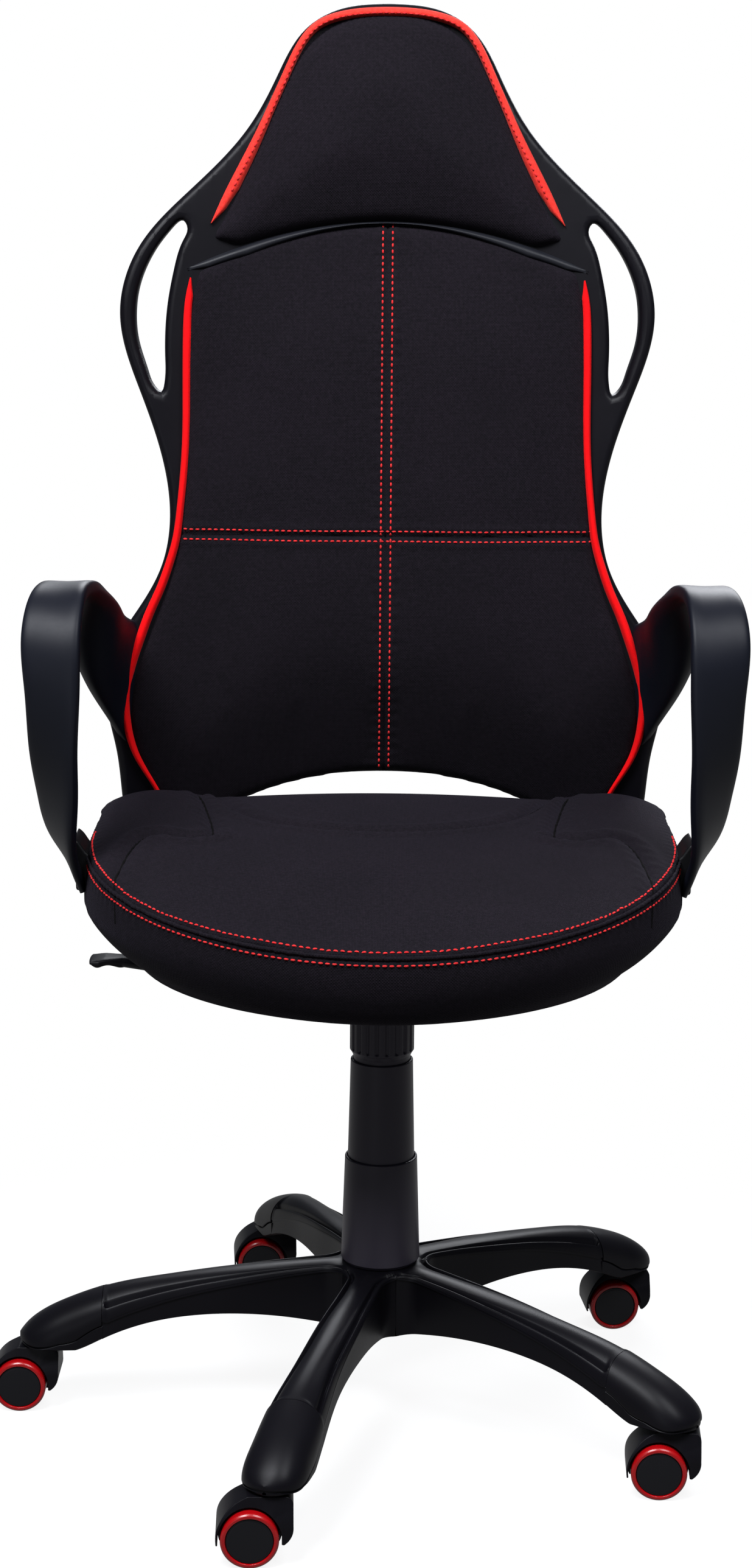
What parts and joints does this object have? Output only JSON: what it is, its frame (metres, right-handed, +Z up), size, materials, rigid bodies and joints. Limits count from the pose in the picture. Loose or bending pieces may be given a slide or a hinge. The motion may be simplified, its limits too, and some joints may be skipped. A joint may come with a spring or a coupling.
{
  "type": "swivel chair",
  "caption": "Swivel chair with a racing style high back, loop armrests, gas lift and a star base on twin-wheel casters.",
  "frame": {"origin": "on the floor under the column axis", "axes": "+Z up, the sitter faces -Y, +X to the viewer's right in front of the chair"},
  "size_m": [0.6897, 0.6749, 1.32],
  "materials": {
    "black_moulding": "satin grained",
    "black_fabric": "woven",
    "red_fabric": "woven",
    "black_steel": "powder coat",
    "bright_steel": "ground",
    "spring_steel": "black oxide",
    "bush_plastic": "smooth",
    "plywood": "raw",
    "caster_plastic": "satin",
    "wheel_ring": "glossy",
    "wheel_centre": "satin",
    "caster_steel": "zinc"
  },
  "bodies": {
    "base": {"base_star": "black_moulding", "arm_end_caps": "black_moulding", "stand_pipe": "black_steel", "guide_bush": "bush_plastic", "thrust_bearing": "bright_steel", "lower_sleeve": "black_moulding"},
    "spindle": {"piston_rod": "bright_steel"},
    "lift": {"gas_cylinder": "black_steel", "top_sleeve": "black_moulding", "mechanism_housing": "black_steel", "tilt_pin": "bright_steel"},
    "cover_middle": {"middle_sleeve": "black_moulding"},
    "valve": {"valve_pin": "bright_steel"},
    "lever_pivot": {"lever_rocker": "bright_steel"},
    "lever": {"lever_rod": "bright_steel", "lever_paddle": "black_moulding"},
    "seat": {"seat_plate": "black_steel", "tilt_spring": "spring_steel", "seat_board": "plywood", "arm_brackets": "black_steel", "seat_cushion": "black_fabric", "back_frame": "black_moulding", "back_shell": "black_moulding", "back_cushion": "black_fabric", "headrest_cushion": "black_fabric", "back_bands": "red_fabric", "headrest_band": "red_fabric", "armrest_left": "black_moulding", "armrest_right": "black_moulding", "fasteners": "spring_steel"},
    "caster_1": {"caster_1_hood": "caster_plastic", "caster_1_pins": "caster_steel"},
    "caster_1_front": {"caster_1_front_disc": "wheel_centre", "caster_1_front_tyre": "wheel_ring"},
    "caster_1_rear": {"caster_1_rear_disc": "wheel_centre", "caster_1_rear_tyre": "wheel_ring"},
    "caster_2": {"caster_2_hood": "caster_plastic", "caster_2_pins": "caster_steel"},
    "caster_2_front": {"caster_2_front_disc": "wheel_centre", "caster_2_front_tyre": "wheel_ring"},
    "caster_2_rear": {"caster_2_rear_disc": "wheel_centre", "caster_2_rear_tyre": "wheel_ring"},
    "caster_3": {"caster_3_hood": "caster_plastic", "caster_3_pins": "caster_steel"},
    "caster_3_front": {"caster_3_front_disc": "wheel_centre", "caster_3_front_tyre": "wheel_ring"},
    "caster_3_rear": {"caster_3_rear_disc": "wheel_centre", "caster_3_rear_tyre": "wheel_ring"},
    "caster_4": {"caster_4_hood": "caster_plastic", "caster_4_pins": "caster_steel"},
    "caster_4_front": {"caster_4_front_disc": "wheel_centre", "caster_4_front_tyre": "wheel_ring"},
    "caster_4_rear": {"caster_4_rear_disc": "wheel_centre", "caster_4_rear_tyre": "wheel_ring"},
    "caster_5": {"caster_5_hood": "caster_plastic", "caster_5_pins": "caster_steel"},
    "caster_5_front": {"caster_5_front_disc": "wheel_centre", "caster_5_front_tyre": "wheel_ring"},
    "caster_5_rear": {"caster_5_rear_disc": "wheel_centre", "caster_5_rear_tyre": "wheel_ring"}
  },
  "joints": [
    {"name": "swivel", "type": "hinge", "parent": "base", "child": "spindle", "pos_m": [0, 0, 0.2], "axis": [0, 0, 1], "continuous": true},
    {"name": "height", "type": "slide", "parent": "spindle", "child": "lift", "axis": [0, 0, 1], "range_m": [-0.085, 0]},
    {"name": "cover_slide", "type": "slide", "parent": "base", "child": "cover_middle", "axis": [0, 0, 1], "range_m": [-0.086, 0]},
    {"name": "tilt", "type": "hinge", "parent": "lift", "child": "seat", "pos_m": [0, -0.03, 0.417], "axis": [-1, 0, 0], "range_deg": [0, 8], "stiffness_Nm_per_rad": 200, "springref_deg": -14.32},
    {"name": "lever_lift", "type": "hinge", "parent": "lift", "child": "lever_pivot", "pos_m": [-0.036, 0, 0.416], "axis": [0, 1, 0], "range_deg": [0, 2.5], "stiffness_Nm_per_rad": 8, "springref_deg": -2.86},
    {"name": "lever_pull", "type": "slide", "parent": "lever_pivot", "child": "lever", "axis": [-1, 0, 0], "range_m": [0, 0.008]},
    {"name": "valve_press", "type": "slide", "parent": "lift", "child": "valve", "axis": [0, 0, 1], "range_m": [-0.0017, 0]},
    {"name": "caster_1_swivel", "type": "hinge", "parent": "base", "child": "caster_1", "pos_m": [-0.32387, -0.00905, 0.07], "axis": [0, 0, 1], "continuous": true},
    {"name": "caster_1_front_roll", "type": "hinge", "parent": "caster_1", "child": "caster_1_front", "pos_m": [-0.34187, -0.00905, 0.025], "axis": [0, 1, 0], "continuous": true},
    {"name": "caster_1_rear_roll", "type": "hinge", "parent": "caster_1", "child": "caster_1_rear", "pos_m": [-0.34187, -0.00905, 0.025], "axis": [0, 1, 0], "continuous": true},
    {"name": "caster_2_swivel", "type": "hinge", "parent": "base", "child": "caster_2", "pos_m": [-0.09148, -0.31082, 0.07], "axis": [0, 0, 1], "continuous": true},
    {"name": "caster_2_front_roll", "type": "hinge", "parent": "caster_2", "child": "caster_2_front", "pos_m": [-0.10947, -0.31145, 0.025], "axis": [-0.0349, 0.9994, 0], "continuous": true},
    {"name": "caster_2_rear_roll", "type": "hinge", "parent": "caster_2", "child": "caster_2_rear", "pos_m": [-0.10947, -0.31145, 0.025], "axis": [-0.0349, 0.9994, 0], "continuous": true},
    {"name": "caster_3_swivel", "type": "hinge", "parent": "base", "child": "caster_3", "pos_m": [0.26734, -0.18305, 0.07], "axis": [0, 0, 1], "continuous": true},
    {"name": "caster_3_front_roll", "type": "hinge", "parent": "caster_3", "child": "caster_3_front", "pos_m": [0.24936, -0.18211, 0.025], "axis": [0.0523, 0.9986, 0], "continuous": true},
    {"name": "caster_3_rear_roll", "type": "hinge", "parent": "caster_3", "child": "caster_3_rear", "pos_m": [0.24936, -0.18211, 0.025], "axis": [0.0523, 0.9986, 0], "continuous": true},
    {"name": "caster_4_swivel", "type": "hinge", "parent": "base", "child": "caster_4", "pos_m": [0.2567, 0.19769, 0.07], "axis": [0, 0, 1], "continuous": true},
    {"name": "caster_4_front_roll", "type": "hinge", "parent": "caster_4", "child": "caster_4_front", "pos_m": [0.2388, 0.19581, 0.025], "axis": [-0.1045, 0.9945, 0], "continuous": true},
    {"name": "caster_4_rear_roll", "type": "hinge", "parent": "caster_4", "child": "caster_4_rear", "pos_m": [0.2388, 0.19581, 0.025], "axis": [-0.1045, 0.9945, 0], "continuous": true},
    {"name": "caster_5_swivel", "type": "hinge", "parent": "base", "child": "caster_5", "pos_m": [-0.10869, 0.30523, 0.07], "axis": [0, 0, 1], "continuous": true},
    {"name": "caster_5_front_roll", "type": "hinge", "parent": "caster_5", "child": "caster_5_front", "pos_m": [-0.12664, 0.30397, 0.025], "axis": [-0.0698, 0.9976, 0], "continuous": true},
    {"name": "caster_5_rear_roll", "type": "hinge", "parent": "caster_5", "child": "caster_5_rear", "pos_m": [-0.12664, 0.30397, 0.025], "axis": [-0.0698, 0.9976, 0], "continuous": true}
  ],
  "couplings": [
    {"joint": "cover_slide", "follows": "height", "ratio": 1},
    {"joint": "valve_press", "follows": "lever_lift", "m_per_rad": -0.036}
  ]
}
